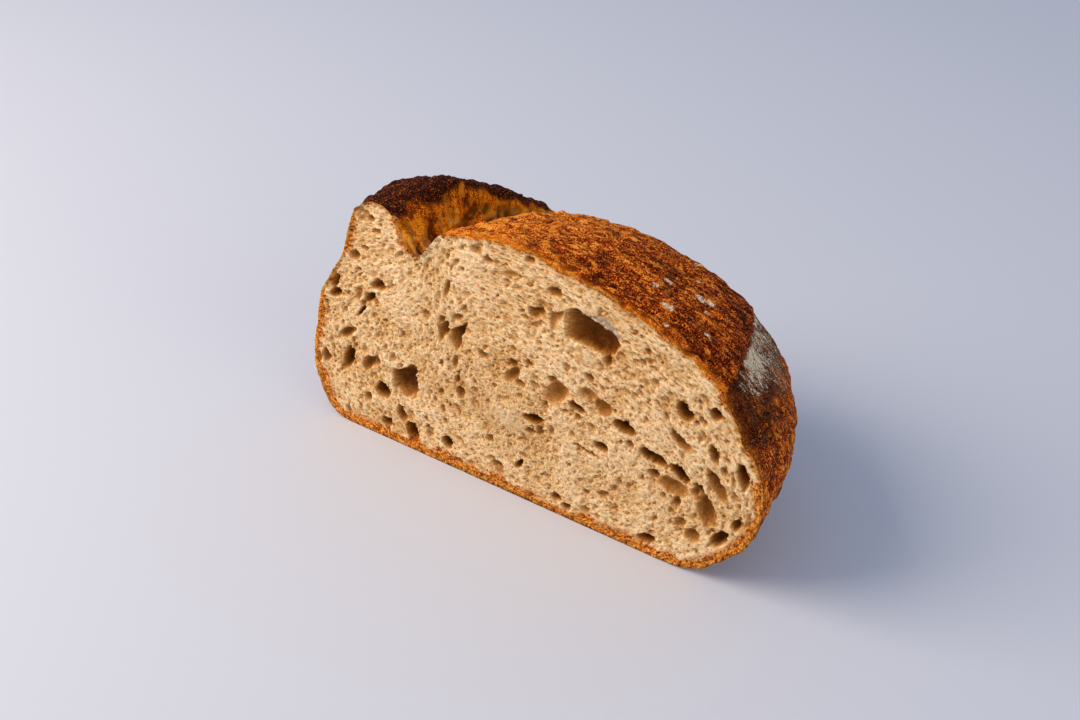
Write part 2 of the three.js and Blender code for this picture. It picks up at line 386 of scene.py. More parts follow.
def crust_relief(points, region):
    """How far each point is raised along its normal, in millimetres."""
    skin = region["skin"].copy()
    skin[:, 1] += 1.8 * noise(points, 26, 3) + 0.5 * noise(points, 7, 4)
    grains = 0.28 * noise(points, 2.3, 10) + 0.22 * noise(points, 1.4, 19)
    ropes = 0.30 * streaks(skin, 15, 3.4, 5) + 0.36 * streaks(skin, 6, 2.1, 6)
    creases = 1 - np.abs(streaks(skin, 22, 5.2, 7))
    bloomed = ropes + grains + 0.20 * noise(points, 9, 8) - 0.9 * smooth(creases, 0.86, 1.0)
    blisters = np.maximum(0, noise(points, 4.2, 9) - 0.5)
    first_skin = grains + 0.14 * streaks(skin, 5, 1.6, 11) + 0.2 * noise(points, 10, 12)
    first_skin += 0.4 * blisters
    pits = np.maximum(0, noise(points, 6.5, 22) - 0.25)
    torn = 1.0 * streaks(skin, 9, 2.2, 13) + 1.1 * noise(points, 6, 14) - 2.6 * pits
    torn += 0.6 * noise(points, 2.6, 15) + 0.4 * noise(points, 1.4, 20)
    knobs = sum(0.55**i * noise(points, 5.5 / 2**i, 16 + 17 * i) for i in range(3))
    charred = 0.5 * knobs + 0.4 * noise(points, 1.6, 17)
    bloom, wall, ear_top, base = (region[k] for k in ("bloom", "wall", "ear_top", "base"))
    relief = bloom * bloomed + (1 - bloom) * first_skin
    at_pole = grains + 0.25 * noise(points, 5, 24) - 0.7 * smooth(1 - np.abs(noise(points, 8, 25)), 0.86, 1)
    relief += region["pole"] * (at_pole - relief)
    relief = relief * (1 - wall) + wall * torn
    relief = relief * (1 - ear_top) + ear_top * charred
    step_edge = smooth(region["past_step"], -1.0, 0.8) * (1 - smooth(region["past_step"], 2, 30))
    relief -= 1.5 * step_edge * smooth(points[:, 2], 55, 75)
    return relief * (1 - base) + base * 0.12 * noise(points, 2.5, 18)


rest = points_of(crust)
relief = crust_relief(rest, region)
moved = rest + relief[:, None] * normals_of(crust)
on_cut = rest[:, 1] < CUT_Y + 0.02
moved[:, 1] = np.where(on_cut, CUT_Y, np.maximum(moved[:, 1], CUT_Y + 0.05))
moved[:, 2] = np.maximum(moved[:, 2], 0)
move_points(crust, moved)
print("relief from", round(relief.min(), 2), "to", round(relief.max(), 2), "mm")

# %% [markdown]
# ## The line of the cut
#
# The crumb has to fill the crust exactly, so the open edge of the skin is read as one closed line
# of points in the plane of the cut.

# %% Walk round the open edge


def open_edge(piece):
    """The points of the piece's open edge in order, as x and z in millimetres."""
    counts = np.bincount(read(piece.data.loops, "edge_index", np.int32))
    neighbours = {}
    for index in np.flatnonzero(counts == 1):
        a, b = piece.data.edges[int(index)].vertices
        neighbours.setdefault(a, []).append(b)
        neighbours.setdefault(b, []).append(a)
    start = min(neighbours)
    walk = [start, neighbours[start][0]]
    while walk[-1] != start:
        a, b = neighbours[walk[-1]]
        walk.append(a if a != walk[-2] else b)
    return points_of(piece)[walk[:-1]][:, [0, 2]]


outline = open_edge(crust)
print("the cut's edge has", len(outline), "points")

# %% [markdown]
# ## Closing a piece behind
#
# A skin with an open edge is no body. The open edge is drawn back into the loaf in a few rings,
# each one further in, and the last ring is merged to a point. The rings of the crust lie just
# outside those of the crumb, so the two pieces sit in each other like bowls.

# %% Draw the open edge back and close it
BOWL_CENTRE = np.array([0.0, 52.0])
# Each ring moves so far inward, backward, and further inward beside the score.
CRUST_RINGS = [(0.5, 1.2, 0), (6.0, 14.3, 8), (13.5, 13.5, 0)]
CRUMB_RINGS = [(1.0, 0.9, 1), (7.0, 13.1, 9), (14.0, 13.0, 0)]


def selected_points(piece):
    return read(piece.data.vertices, "select", bool)


def draw_in(piece, inward, backward, at_score):
    """Moves the selected ring inwards and backwards, and further inwards beside the score."""
    ring = selected_points(piece)
    points = points_of(piece)
    flat = points[ring][:, [0, 2]]
    near_score = np.exp(-(((flat[:, 0] + 46) / 13) ** 2)) * smooth(flat[:, 1], 74, 90)
    towards = BOWL_CENTRE - flat
    towards /= np.linalg.norm(towards, axis=1)[:, None]
    flat = flat + towards * (inward + at_score * near_score)[:, None]
    points[ring] = np.column_stack([flat[:, 0], points[ring][:, 1] + backward, flat[:, 1]])
    move_points(piece, points)


def close_behind(piece, rings):
    """Extrudes the open edge once for each ring, and merges the last ring to a point."""
    with editing(piece):
        select_open_edge()
        for ring in rings:
            bpy.ops.mesh.extrude_edges_move()
            bpy.ops.object.mode_set(mode="OBJECT")
            draw_in(piece, *ring)
            bpy.ops.object.mode_set(mode="EDIT")
        bpy.ops.mesh.extrude_edges_move(TRANSFORM_OT_translate={"value": (0, 0.5 * MM, 0)})
        bpy.ops.mesh.merge(type="CENTER")
        bpy.ops.mesh.select_all(action="SELECT")
        bpy.ops.mesh.normals_make_consistent(inside=False)


close_behind(crust, CRUST_RINGS)
print("the crust piece has", len(crust.data.polygons), "faces")

# %% [markdown]
# ## The crumb, step 1: a fine grid in the plane of the cut
#
# Crumb is a foam. It could be cut out by thousands of Boolean balls, which is slow and leaves flat
# land between them. A grid whose points are pushed back is quick and lets every pore open into the
# next. Its squares are half as wide as the shortest pore is long.

# %% Lay the grid
CRUMB_SPACING = 0.53
COLUMNS = round((HIGH.x - LOW.x + 4) / CRUMB_SPACING)
ROWS = round((HIGH.z + 4) / CRUMB_SPACING)
bpy.ops.object.select_all(action="DESELECT")
bpy.ops.mesh.primitive_grid_add(
    x_subdivisions=COLUMNS,
    y_subdivisions=ROWS,
    size=1,
    rotation=(math.pi / 2, 0, 0),
    location=(0, CUT_Y * MM, (ROWS * CRUMB_SPACING / 2 - 2) * MM),
)
crumb = bpy.context.object
crumb.name = "crumb"
crumb.scale = (COLUMNS * CRUMB_SPACING * MM, ROWS * CRUMB_SPACING * MM, 1)
bpy.ops.object.transform_apply(location=True, rotation=True, scale=True)
lattice = points_of(crumb)
print("the grid is", COLUMNS, "by", ROWS, "squares")

# %% [markdown]
# ## The crumb, step 2: where the grid lies in the loaf
#
# Each grid point gets its distance to the crust, which shapes both the relief and the colour.
# Points outside the crust are dropped.

# %% Measure the distance to the crust


def inside_and_distance(flat, outline):
    """Which points lie inside the closed outline, how far they are from it, and the nearest point."""
    inside = np.zeros(len(flat), bool)
    nearest = np.full(len(flat), np.inf)
    foot = np.zeros_like(flat)
    for a, b in zip(outline, np.roll(outline, -1, axis=0)):
        side = b - a
        between = (flat[:, 1] > a[1]) != (flat[:, 1] > b[1])
        if side[1] != 0:
            crossing = a[0] + (flat[:, 1] - a[1]) * side[0] / side[1]
            inside ^= between & (flat[:, 0] < crossing)
        near = np.abs(flat - a).sum(axis=1) < 2.0 * nearest
        share = np.clip((flat[near] - a) @ side / max(side @ side, 1e-9), 0, 1)
        place = a + share[:, None] * side
        gap = np.linalg.norm(flat[near] - place, axis=1)
        closer = gap < nearest[near]
        rows = np.flatnonzero(near)[closer]
        nearest[rows] = gap[closer]
        foot[rows] = place[closer]
    return inside, nearest, foot


inside, to_crust, nearest_edge = inside_and_distance(lattice[:, [0, 2]], outline)
print("share of the grid inside the crust:", round(float(inside.mean()), 2))

# %% [markdown]
# ## The crumb, step 3: gas bubbles
#
# A bubble is an egg-shaped hollow. Where the surface so far lies inside the egg, it is pushed back
# to the egg's far wall, which is what a knife leaves. The large holes are listed one by one, and so
# are a few torn ones with straight sides. The thousands of small ones come from a seeded rule and
# lie along the flow of the dough: round the loaf like the rings of an onion, and upright below the
# score, where the dough was pulled up.

# %% The grid and the flow of the dough
GRID_X = lattice[: COLUMNS + 1, 0]
GRID_Z = lattice[:: COLUMNS + 1, 2]
GRID_SHAPE = (ROWS + 1, COLUMNS + 1)
FLOW_CENTRE_Z = 38.0
HALF_WIDTH = 115
HALF_HEIGHT = 70
PULLED_X = -43
PULLED_WIDTH = 17
UPRIGHT_TILT = math.radians(78)


def pulled_up_at(x, z):
    """How far the dough was pulled up by the score, from 0 to 1."""
    return np.exp(-(((x - PULLED_X) / PULLED_WIDTH) ** 2)) * smooth(z, 24, 60)


def flow_tilt(x, z):
    """The way the dough flowed, as an angle in the plane of the cut."""
    ring = math.atan2(
        HALF_HEIGHT * (x - CROWN_X) / HALF_WIDTH, -HALF_WIDTH * (z - FLOW_CENTRE_Z) / HALF_HEIGHT
    )
    turns = (
        mix_number(part(2 * ring), part(2 * UPRIGHT_TILT), pulled_up_at(x, z))
        for part in (math.sin, math.cos)
    )
    return math.atan2(*turns) / 2


# %% Where the holes are
# Each large hole is x, z, length, width, tilt in degrees, depth and how far back its middle lies.
LARGE_HOLES = [
    (-61, 35, 15.5, 13.5, 25, 7.6, 0.4), (-57, 42, 7, 5, 60, 5.2, 0), (-75, 24.5, 9.5, 8, 22, 8.5, 0.4),
    (-95, 34, 15, 5.5, 64, 6.5, 0.2), (-83, 36, 11, 5.5, 60, 4.5, 0), (-78, 39, 7, 5, 45, 3.9, 0),
    (-95, 48, 13, 5, 36, 3.9, 0), (-59, 8, 9.5, 7, -75, 7.8, 0.6), (-39, 12, 7, 5.5, -79, 7.2, 0.4),
    (-65, 16, 10, 6, -84, 4.5, 0), (-74, 8, 7, 6, 18, 5.9, 0.4), (-84, 18, 6, 5, 50, 3.2, 0),
    (7.5, 43.5, 11.5, 4.6, 12, 7.2, 0.4), (6, 36.5, 6, 3, 5, 3.9, 0), (-3, 61, 13, 5.5, 48, 3.6, 0),
    (19, 60, 19, 10, 41, 4.2, -0.6), (34, 66, 10.5, 7.5, 16, 3, -0.4),
    (41.5, 62.5, 10.5, 8.5, -7, 3.4, -0.4), (29, 57.5, 9, 4.6, -12, 7.8, 0.4),
    (52, 57, 11.5, 5.6, -12, 7.2, 0.3), (41, 43.5, 7, 4.6, 2, 6.5, 0.2), (35, 38.5, 15, 1.8, -8, 5.2, 0.2),
    (78, 75, 10, 7, -58, 7.8, 0.4), (91.5, 80, 6.5, 6, -74, 5.9, 0.2), (92, 61, 10, 4, -68, 3.9, 0),
    (77, 62, 12, 5.5, -35, 4.7, 0), (66, 48.5, 14, 5.5, -8, 10.4, 0.8), (78, 46, 11, 6, -35, 11.7, 1),
    (86, 43, 6, 3.5, -40, 6.5, 0.4), (75, 38.5, 18, 9, -8, 3.6, -0.3), (66, 41, 6, 4, -10, 5.2, 0.2),
    (90, 33, 18.5, 10, -82, 4.6, -0.3), (94, 47.5, 17, 6, -57, 4.2, 0), (104.5, 57, 12, 5.5, -74, 7.8, 0.6),
    (104.5, 71.5, 10, 4.2, -73, 6.5, 0.6), (85, 18.5, 8, 7, -83, 3.4, 0),
    (96.5, 22.5, 11.5, 5.2, 50, 6.5, 0.2), (103, 32, 5.6, 3.6, 86, 4.5, 0.2),
    (63.5, 7.7, 8.5, 4.4, 6, 5.9, 0.4), (-98.5, 73.5, 9, 3.6, 60, 5.9, 0.6), (-99, 67, 8, 4, 30, 5.2, 0.2),
    (-79, 71, 9, 3.6, 42, 5.9, 0.3), (-84.5, 62.5, 10, 1.9, 52, 5.9, 0.4),
    (-73.5, 79, 9, 4.2, 16, 4.7, 0.2), (-85.5, 90, 7.5, 5.5, 30, 3.4, 0),
    (-75, 110.5, 5.5, 4, 20, 3.1, 0.1), (-36, 90, 12, 3.4, 74, 2.9, 0), (-3, 108, 10, 2.8, 12, 2.3, 0),
    (18, 107, 8, 4.4, -5, 3.4, 0.1), (-108, 31, 8, 5.5, 80, 3.9, 0.2), (-33, 55, 8, 3.4, 80, 2.6, 0),
    (-11, 12, 7, 4.6, 10, 4.4, 0.1), (24.5, 5.5, 5, 3.4, 0, 4.5, 0.2), (0, 17, 6.5, 2.6, 55, 5.9, 0.4),
    (-31, 78.5, 8, 3.4, 30, 2.9, 0),
]

# Each pocket is a torn hole with straight sides. After its greatest depth come its corners in
# turn, clockwise, as x, z and how steeply the side that starts there falls away.
POCKETS = [
    (11, [
        (21.7, 98.2, 1.5), (24.9, 102.9, 5), (29, 103.5, 5), (46.4, 97.2, 4),
        (49.2, 93.8, 4.5), (45.5, 86.2, 6.0), (37.5, 87.2, 6.0), (22.8, 86.6, 0.9),
    ]),  # the tunnel under the crown
    (7, [(5.5, 96.6, 6), (13.2, 97.6, 6), (14.2, 94.3, 2), (8.3, 91, 2), (5.6, 93.1, 3)]),
    (7, [(14.0, 97.2, 7), (22, 99.6, 3), (21.6, 95.2, 1.2), (15.8, 87, 1.2)]),
    (6, [(40.2, 84.6, 4), (43.1, 88.5, 5), (45.7, 84.2, 3), (41.4, 80, 2)]),
    (9, [(-42.3, 72.4, 4), (-35.2, 75.8, 8), (-35.4, 70.6, 6), (-41.4, 60, 1.8)]),  # a torn pair
    (9, [(-37.5, 70.2, 4), (-25.3, 78.2, 8), (-32.2, 60, 1.2)]),
]

# Each size of small hole is how many, shortest and longest in millimetres, and the noise on its rim.
SMALL_HOLES = [
    (640, 2.6, 6.2, 0.35),
    (2000, 1.8, 3.2, 0.40),
    (9000, 1.0, 2.2, 0.0),
]

# %% How a hole opens


def window(x, z, reach):
    """The rows and columns of the grid near a place."""
    rows = slice(*np.searchsorted(GRID_Z, (z - reach, z + reach)))
    columns = slice(*np.searchsorted(GRID_X, (x - reach, x + reach)))
    return rows, columns


def open_bubble(surface, x, z, long, wide, tilt, deep, middle, rim):
    """Pushes the surface back to a bubble's far wall, and returns where it did so."""
    rows, columns = window(x, z, 0.75 * long)
    here = surface[rows, columns]
    dx, dz = GRID_X[columns][None, :] - x, GRID_Z[rows][:, None] - z
    along = dx * math.cos(tilt) + dz * math.sin(tilt)
    off = dz * math.cos(tilt) - dx * math.sin(tilt)
    share = ((2 * along / long) ** 2 + (2 * off / wide) ** 2) * (1 + rim[rows, columns])
    up = np.clip(dz / (0.35 * (long + wide)), -1, 1)
    hollow = np.clip(1 - share, 0, 1) ** (0.75 - 0.3 * up) * (1 + 0.3 * up)
    opened = (share < 1) & (middle - deep * hollow < here) & (middle + deep * hollow > here)
    here[opened] = (middle + deep * hollow)[opened]
    return rows, columns, opened


def open_pocket(surface, deepest, corners, rim, blend=0.5):
    """Pushes the surface back inside a hole with straight sides, each side as steep as it says."""
    places = np.array(corners)[:, :2]
    x, z = places.mean(axis=0)
    rows, columns = window(x, z, np.abs(places - (x, z)).max() + 1)
    dx, dz = GRID_X[columns][None, :], GRID_Z[rows][:, None]
    falls = 0
    for (x0, z0, slope), (x1, z1, _) in zip(corners, corners[1:] + corners[:1]):
        gap = ((dx - x0) * (z1 - z0) - (dz - z0) * (x1 - x0)) / math.hypot(x1 - x0, z1 - z0)
        falls = falls + np.exp(-slope * (gap + 0.5 * rim[rows, columns]) / blend)
    fall = np.maximum(-blend * np.log(falls), 0)
    hollow = deepest * (1 - np.exp(-fall / deepest))
    here = surface[rows, columns]
    opened = hollow > here
    here[opened] = hollow[opened]
    return rows, columns, opened


# %% Open the large holes
flat_lattice = lattice * (1, 0, 1)
soft_rim = noise(flat_lattice, 4.5, 21).reshape(GRID_SHAPE)
ragged_rim = soft_rim + 0.6 * noise(flat_lattice, 1.6, 22).reshape(GRID_SHAPE)
surface = 0.5 + 0.45 * noise(flat_lattice, 17, 23).reshape(GRID_SHAPE)
surface += 0.30 * noise(flat_lattice, 6, 24).reshape(GRID_SHAPE)
cavity = np.zeros(GRID_SHAPE)
for x, z, long, wide, tilt, deep, middle in LARGE_HOLES:
    hole = (x, z, long, wide, math.radians(tilt), deep, middle)
    rows, columns, opened = open_bubble(surface, *hole, 0.28 * ragged_rim)
    cavity[rows, columns][opened] = 1
for deepest, corners in POCKETS:
    rows, columns, opened = open_pocket(surface, deepest, corners, ragged_rim)
    cavity[rows, columns][opened] = 1

# %% Open the small holes
TILT_SPREAD = 16
LONGEST_IN_A_HOLE = 2.2
SMOOTH_WALLED_FROM = 2.8
SMALL_CAVITY = 0.6
draw = np.random.default_rng(31)
for count, shortest, longest, rim_noise in SMALL_HOLES:
    for _ in range(count):
        x, z = draw.uniform(LOW.x, HIGH.x), draw.uniform(0, HIGH.z)
        long = shortest + (longest - shortest) * draw.random() ** 1.8
        wide = long * draw.uniform(0.42, 0.8)
        tilt = flow_tilt(x, z) + math.radians(draw.normal(0, TILT_SPREAD))
        deep = wide * draw.uniform(0.35, 0.75)
        lift = draw.uniform(-0.55, 0.15) * deep
        row = min(np.searchsorted(GRID_Z, z), ROWS)
        column = min(np.searchsorted(GRID_X, x), COLUMNS)
        # The wall of a large hole is smooth, so only a few small ones open in it.
        if cavity[row, column] and (long > LONGEST_IN_A_HOLE or draw.random() < 0.75):
            continue
        middle = surface[row, column] + lift
        hole = (x, z, long, wide, tilt, deep, middle)
        rows, columns, opened = open_bubble(surface, *hole, rim_noise * soft_rim)
        if long > SMOOTH_WALLED_FROM:
            cavity[rows, columns][opened] = SMALL_CAVITY
print("large holes:", len(LARGE_HOLES), "pockets:", len(POCKETS))
print("small holes tried:", sum(count for count, *_ in SMALL_HOLES))

# %% [markdown]
# ## The crumb, step 4: torn walls
#
# Between the pores the walls are torn, so a fine noise drawn out along the flow roughens them. It
# fades out at the crust, so that nothing breaks through.

# %% Shape the grid
flow_x = (lattice[:, 0] - CROWN_X) / HALF_WIDTH
flow_z = (lattice[:, 2] - FLOW_CENTRE_Z) / HALF_HEIGHT
flow_angle = (np.arctan2(flow_z, flow_x) + math.pi / 2) % (2 * math.pi)
flow_ring = np.hypot(flow_x, flow_z)
flow_place = ARC_RADIUS * np.column_stack([flow_angle, flow_ring, 0 * flow_ring])
upright_place = lattice[:, [2, 0, 1]] * (1, 1, 0)
pulled_up = pulled_up_at(lattice[:, 0], lattice[:, 2])
fibres, strands = (
    mix_number(noise(flow_place, size, seed), noise(upright_place, size, seed + 1), pulled_up)
    for size, seed in (((3.8, 1.3, 1), 41), ((6.5, 1.9, 1), 45))
)
torn = 0.22 * fibres + 0.12 * noise(flat_lattice, 1.1, 43)
torn -= 0.28 * smooth(1 - np.abs(strands), 0.78, 1.0)
depth = surface.ravel() + torn * (1 - 0.75 * cavity.ravel())
depth = np.minimum(depth, 0.3 + 1.7 * np.maximum(to_crust - 0.8, 0))
depth = np.maximum(depth, -0.25) * smooth(to_crust, 0.0, 1.2)
shaped = lattice.copy()
shaped[:, 1] = CUT_Y + depth
move_points(crumb, shaped)
print("the crumb is from", round(depth.min(), 1), "to", round(depth.max(), 1), "mm deep")

# %% [markdown]
# ## The crumb, step 5: what its material has to know
#
# Next to the crust the crumb is toasted: a thin line under the crown, and a wide band along the
# sole. So each point keeps how far it is from the crust, in widths of that band, how deep it lies,
# and whether it is in a large smooth hole. A shred of thin film hangs over one hole.

# %% Paint the crumb
BAND_TOP = 1.5
BAND_SIDE = 4.6
BAND_SOLE = 4.8
FILM = [(33, 101.6), (38.1, 103.2), (42.7, 102.6), (45.6, 101), (48.4, 97.6), (45.1, 97.4), (39.6, 99.4)]
STRAY_CRUMBS = [(41.2, 105.2, 1.0), (-17.8, 95.4, 0.8), (14.8, 115.4, 1.1), (-19, 98, 0.7)]

inward = (lattice[:, [0, 2]] - nearest_edge) / np.maximum(to_crust, 0.05)[:, None]
sole_share = smooth(inward[:, 1], 0.2, 0.8)
top_share = smooth(-inward[:, 1], 0.1, 0.5)
band_width = BAND_SIDE + (BAND_SOLE - BAND_SIDE) * sole_share + (BAND_TOP - BAND_SIDE) * top_share
band_width *= 1 + 0.35 * noise(flat_lattice, 5, 51)
at_score = np.exp(-(((lattice[:, 0] + 47) / 14) ** 2)) * smooth(lattice[:, 2], 80, 95)
band_width *= 1 - 0.7 * at_score
in_film, to_film, _ = inside_and_distance(lattice[:, [0, 2]], np.array(FILM))
film = np.where(in_film, 1, 1 - smooth(to_film, 0, 1.0))
stray = np.zeros(len(lattice))
for x, z, size in STRAY_CRUMBS:
    stray = np.maximum(stray, np.hypot(lattice[:, 0] - x, lattice[:, 2] - z) < 0.6 * size)
crumb_paints = {"band": to_crust / band_width, "deep": depth, "cavity": cavity.ravel()}
crumb_paints |= {"pulled_up": pulled_up, "film": film, "stray": stray}
paint(crumb, **crumb_paints, flow_place=flow_place)
print("the toasted band is", round(band_width.min(), 1), "to", round(band_width.max(), 1), "mm wide")

# %% [markdown]
# ## The crumb, step 6: the edge
#
# Squares that reach outside the crust are deleted, and the stepped edge that is left is snapped to
# the line of the cut. Two squares that meet only at a corner would leave a pinched point, so one of
# such a pair goes first. Then the piece is closed behind like the crust.

# %% Trim the grid, snap its edge and close it behind
CRUMB_MARGIN = 0.22


def squares_to_keep(point_mask):
    """The grid's squares whose four corners are kept, without pairs that meet at one corner."""
    kept = point_mask[:-1, :-1] & point_mask[1:, :-1] & point_mask[:-1, 1:] & point_mask[1:, 1:]
    while True:
        a, b, c, d = kept[:-1, :-1], kept[:-1, 1:], kept[1:, :-1], kept[1:, 1:]
        pinched = (a & d & ~b & ~c) | (b & c & ~a & ~d)
        if not pinched.any():
            return kept
        a[pinched] = False
        b[pinched] = False


paint(crumb, grid_index=np.arange(len(lattice)))
kept = squares_to_keep((inside & (to_crust > CRUMB_MARGIN)).reshape(GRID_SHAPE))
with editing(crumb, "FACE", ~kept.ravel()):
    bpy.ops.mesh.delete(type="FACE")
    bpy.ops.mesh.select_all(action="SELECT")
    bpy.ops.mesh.delete_loose(use_verts=True, use_edges=True, use_faces=False)
grid_index = painted_on(crumb, "grid_index").astype(int)
with editing(crumb):
    select_open_edge()
edge = selected_points(crumb)
edge_x, edge_z = nearest_edge[grid_index[edge]].T
fitted = points_of(crumb)
fitted[edge] = np.column_stack([edge_x, np.full(len(edge_x), CUT_Y), edge_z])
move_points(crumb, fitted)
print("edge points snapped to the crust:", int(edge.sum()))

# %% [markdown]
# ## The crumb, step 7: the walls of the deep holes
#
# Where the grid was pushed back far, its squares are long strips. Their long edges are subdivided,
# the walls are smoothed, as a bubble's film is smooth, and a faint noise is added.

# %% Refine the steep walls
LONGEST_EDGE = 1.5


def split_long_edges(piece, longest):
    """Subdivides every edge that is longer than this."""
    ends = points_of(piece)[read(piece.data.edges, "vertices", np.int32, 2)]
    long = np.linalg.norm(ends[:, 0] - ends[:, 1], axis=1) > longest
    with editing(piece, "EDGE", long):
        bpy.ops.mesh.subdivide(number_cuts=1)


for _ in range(3):
    split_long_edges(crumb, LONGEST_EDGE)
places = points_of(crumb)
in_hole = (painted_on(crumb, "cavity") > SMALL_CAVITY) & (places[:, 1] > CUT_Y + 0.9)
smooth_points(crumb, in_hole, 5)
places = points_of(crumb)
sunk = smooth(places[:, 1] - CUT_Y, 2.0, 5.0)
rough = sunk * (0.30 * noise(places, 3.4, 43) + 0.14 * noise(places, 1.4, 44))
move_points(crumb, places + rough[:, None] * normals_of(crumb))
close_behind(crumb, CRUMB_RINGS)
crumb.data.calc_loop_triangles()
print("the crumb piece has", len(crumb.data.loop_triangles), "triangles")

# %% [markdown]
# ## What the crust's material has to know
#
# How brown a crust is depends on how thin and how high the dough stood in the oven. The thin ear
# burns first, the shoulder beside the score opened last and stays golden, and the first skin beyond
# the step is an even brown with flour left on it. These amounts are numbers on the points too, and
# so is the thin gold rim beside the cut.

# %% Paint the crust
RIM_GLOW_LEFT = 3.2
RIM_GLOW_RIGHT = 2.0
# Each fleck of flour is x, how far behind the cut it lies, and its size.
FLOUR_FLECKS = [
    (44, 66, 2.2), (47, 74, 2.0), (50, 32, 2.6), (55, 47, 2.2), (62, 37, 3.2), (65, 39, 2.6),
    (60, 15, 3.4), (65, 6, 1.6), (77, 17, 1.8), (49, 24, 1.4), (68, 31, 1.6), (58, 52, 1.5),
]

final = points_of(crust)
region = crust_regions(final, normals_of(crust))
x, _, z = final.T
back, across, past_step = (region[k] for k in ("back", "across", "past_step"))
shoulder = (1 - smooth(across, 4, 70)) * smooth(across, -6, 4) * smooth(z, 70, 90)
rim_reach = RIM_GLOW_LEFT + (RIM_GLOW_RIGHT - RIM_GLOW_LEFT) * smooth(x, 0, 40)
rim_glow = np.exp(-back / rim_reach) * smooth(x, -40, -20) * (0.4 + 0.6 * smooth(z, 50, 90))
caramel = smooth(back, 1, 4) * (1 - smooth(back, 9, 20)) * smooth(x, 0, 40)
browning = 0.20 * smooth(x, -20, 60) - 0.06 * smooth(x, 70, 100)
bake = 0.45 + browning - 0.26 * shoulder - 0.25 * rim_glow + 0.06 * noise(final, 22, 61)
bake += 0.20 * smooth(past_step, -24, -1) * (1 - smooth(past_step, -1, 0.5)) * smooth(back, 2, 12)
bake -= 0.06 * smooth(past_step, 0, 2) * smooth(x, 60, 80)
bake += 0.10 * caramel + 0.05 * (1 - smooth(x, -90, -60))
sole = 1 - smooth(z, 0.5, 12)
bake *= 1 - 0.35 * sole
char_edge = 0.78 - 0.24 * (1 - smooth(across, -24, -15)) - 0.22 * smooth(back, 25, 60)
char_edge += 0.14 * noise(final, 12, 62) + 0.12 * noise(final, 3.5, 63)
char = region["ear_top"] * smooth(region["up_wall"], char_edge - 0.12, char_edge + 0.10)
flecks = np.zeros(len(x))
for fleck_x, fleck_back, size in FLOUR_FLECKS:
    gap = np.hypot(x - fleck_x, (back - fleck_back) * 1.3)
    flecks = np.maximum(flecks, 1 - smooth(gap, 0.25 * size, 1.0 * size))
flecks *= smooth(z, 60, 75)
dense = np.exp(-(((back - 33) / 13) ** 2)) * (1 - smooth(past_step, 3, 13))
dusting = np.maximum(dense, 0.62 * smooth(back, 30, 50)) * smooth(z, 66, 84)
flour = np.maximum(dusting, 0.03) * smooth(past_step, -0.4, 1.0) * smooth(x, 60, 70)
crust_paints = {name: region[name] for name in ("wall", "up_wall", "pole")}
crust_paints |= {"bake": bake, "char": char, "flour": flour, "flecks": flecks, "rim": rim_glow}
crust_paints["relief"] = crust_relief(final, region)
paint(crust, **crust_paints, skin_place=region["skin"])
print("bake from", round(bake.min(), 2), "to", round(bake.max(), 2))

# %% [markdown]
# ## Materials: one helper
#
# A material is a small network of nodes. One function adds a node, sets its fields, its inputs and,
# on a colour ramp, its stops, and links an input where it is given a socket, so that each material
# below reads as a recipe. Colours are sRGB, as on a colour chart, and turned linear for Blender.

# %% Helpers for materials


def linear(chart_colour):
    """An sRGB hex value as linear red, green, blue and alpha."""
    channels = (int(chart_colour[i : i + 2], 16) / 255 for i in (1, 3, 5))
    return tuple(c / 12.92 if c <= 0.04045 else ((c + 0.055) / 1.055) ** 2.4 for c in channels) + (1.0,)


def add_node(tree, kind, fields=None, inputs=None, stops=None, out=0):
    """Adds a node and returns an output. inputs holds sockets, numbers and chart colours."""
    node = tree.nodes.new("ShaderNode" + kind)
    for name, value in (fields or {}).items():
        setattr(node, name, value)
    for key, value in (inputs or {}).items():
        if isinstance(value, bpy.types.NodeSocket):
            tree.links.new(value, node.inputs[key])
        else:
            node.inputs[key].default_value = linear(value) if isinstance(value, str) else value
    if stops:
        ramp = node.color_ramp.elements
        while len(ramp) < len(stops):
            ramp.new(0.5)
        for element, (place, colour) in zip(ramp, sorted(stops.items())):
            element.position = place
            element.color = linear(colour)
    return node.outputs[out]


def new_material(name):
    """An empty material, its nodes and the socket that its shader goes to."""
    material = bpy.data.materials.new(name)
    material.use_nodes = True
    material.node_tree.nodes.clear()
    output = material.node_tree.nodes.new("ShaderNodeOutputMaterial")
    return material, material.node_tree, output.inputs["Surface"]


print("orange on the chart is", [round(c, 2) for c in linear("#F08020")[:3]], "in linear light")

# %% [markdown]
# ## Material: baked wheat crust
#
# A crust is a thin glassy skin of starch and sugar, browned by the oven. It is mottled down to half
# a millimetre, because each blister and grain browns by itself, and the mottling is drawn out where
# the dough stretched. So noises at real sizes come first: streaks along the stretch, grains, broad
# mottles and fine flakes. At the back, where all the streaks would meet in one point, a crackle
# takes their place.

